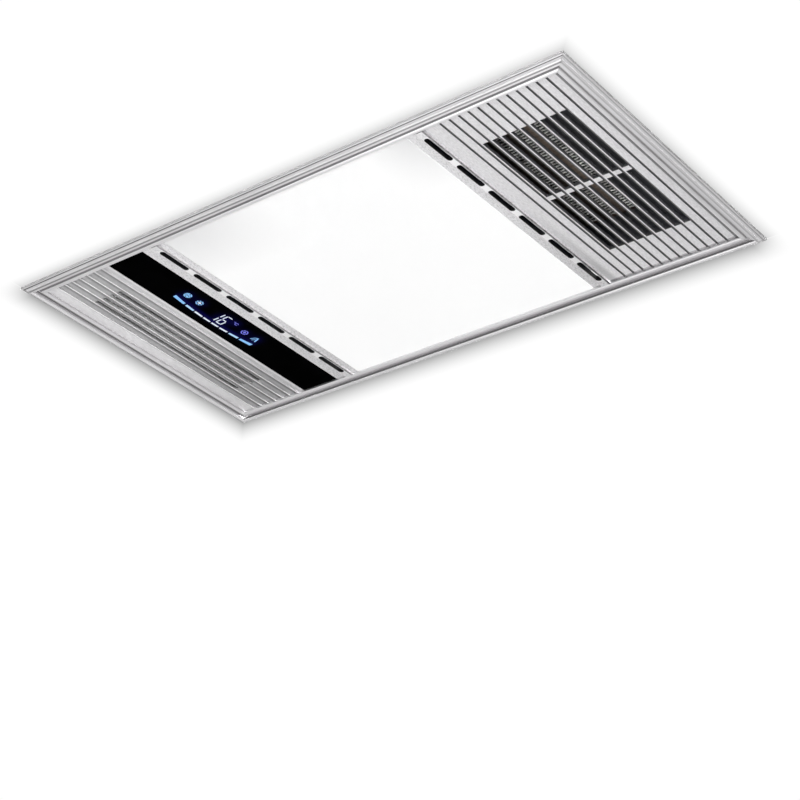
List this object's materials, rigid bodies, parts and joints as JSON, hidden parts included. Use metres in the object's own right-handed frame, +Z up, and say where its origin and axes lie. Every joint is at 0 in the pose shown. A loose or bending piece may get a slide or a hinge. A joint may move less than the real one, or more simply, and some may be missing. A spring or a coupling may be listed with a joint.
{
  "type": "ceiling mounted fan heater",
  "caption": "Recessed rectangular ceiling fan heater with intake and outlet grilles, status window, light panel, heating and exhaust blowers and a ducted damper.",
  "frame": {"origin": "centre of the ceiling opening, on the visible ceiling surface", "axes": "+X along the long side towards the warm air outlet, +Y across the panel towards the top of the display's text, +Z up into the ceiling"},
  "size_m": [0.62, 0.3, 0.1606],
  "materials": {
    "satin_aluminium": "satin, finely brushed along each bar",
    "moulded_silver": "warm silver metallic lacquer on moulded plastic, satin",
    "black_glass": "glossy black",
    "opal_light": "opal white, lit evenly from behind",
    "galvanised_steel": "zinc coated sheet",
    "white_paint": "white reflective paint",
    "black_plastic": "fine grain",
    "white_plastic": "fine grain",
    "dark_paint": "dark grey enamel",
    "bright_steel": "zinc plated",
    "spring_steel": "tempered strip",
    "circuit_green": "solder mask",
    "circuit_white": "white solder mask",
    "heater_silver": "bare corrugated strip",
    "heater_bar_coating": "brownish coated tube",
    "heater_end_plastic": "heat resistant moulding",
    "cutout_brown": "glossy moulded button"
  },
  "bodies": {
    "housing": {"housing_shell": "galvanised_steel", "heating_scroll": "galvanised_steel", "heating_inlet_ring": "galvanised_steel", "heating_motor": "dark_paint", "exhaust_scroll": "galvanised_steel", "exhaust_inlet_ring": "galvanised_steel", "exhaust_motor": "dark_paint", "duct_collar": "white_plastic", "damper_pin": "bright_steel", "outlet_duct": "galvanised_steel", "fin_strip_1": "heater_silver", "fin_strip_2": "heater_silver", "fin_strip_3": "heater_silver", "fin_strip_4": "heater_silver", "heater_bar_1": "heater_bar_coating", "heater_bar_2": "heater_bar_coating", "heater_bar_3": "heater_bar_coating", "heater_end_near": "heater_end_plastic", "heater_end_far": "heater_end_plastic", "heater_hood": "galvanised_steel", "thermal_cutout": "cutout_brown", "control_box_base": "white_plastic", "control_box_lid": "white_plastic", "control_board": "circuit_green", "terminal_block": "white_plastic", "cable_gland": "black_plastic", "hanger_near_left": "galvanised_steel", "hanger_near_right": "galvanised_steel", "hanger_far_right": "galvanised_steel", "hanger_far_left": "galvanised_steel"},
    "face_panel": {"rim_near": "satin_aluminium", "rim_right": "satin_aluminium", "rim_far": "satin_aluminium", "rim_left": "satin_aluminium", "corner_key_near_left": "bright_steel", "corner_key_near_right": "bright_steel", "corner_key_far_right": "bright_steel", "corner_key_far_left": "bright_steel", "intake_grille": "moulded_silver", "display_window": "black_glass", "display_cover": "black_plastic", "display_board": "circuit_green", "vent_strip_left": "moulded_silver", "light_diffuser": "opal_light", "light_tray": "white_paint", "led_board": "circuit_white", "led_driver": "white_plastic", "vent_strip_right": "moulded_silver", "outlet_grille": "moulded_silver", "cross_rail_left": "galvanised_steel", "cross_rail_right": "galvanised_steel", "spring_clip_near_left": "spring_steel", "spring_clip_near_right": "spring_steel", "spring_clip_far_left": "spring_steel", "spring_clip_far_right": "spring_steel"},
    "heating_fan": {"heating_impeller": "black_plastic", "heating_shaft": "bright_steel"},
    "exhaust_fan": {"exhaust_impeller": "black_plastic", "exhaust_shaft": "bright_steel"},
    "damper": {"damper_flap": "black_plastic"}
  },
  "joints": [
    {"name": "panel_drop", "type": "slide", "parent": "housing", "child": "face_panel", "axis": [0, 0, -1], "range_m": [0, 0.038]},
    {"name": "heating_fan_spin", "type": "hinge", "parent": "housing", "child": "heating_fan", "pos_m": [0.04998, 0.03803, 0.058], "axis": [0, 0, 1], "continuous": true},
    {"name": "exhaust_fan_spin", "type": "hinge", "parent": "housing", "child": "exhaust_fan", "pos_m": [-0.15002, 0.03803, 0.058], "axis": [0, 0, 1], "continuous": true},
    {"name": "damper_swing", "type": "hinge", "parent": "housing", "child": "damper", "pos_m": [-0.304, -0.03812, 0.084], "axis": [0, 1, 0], "range_deg": [0, 70]}
  ]
}
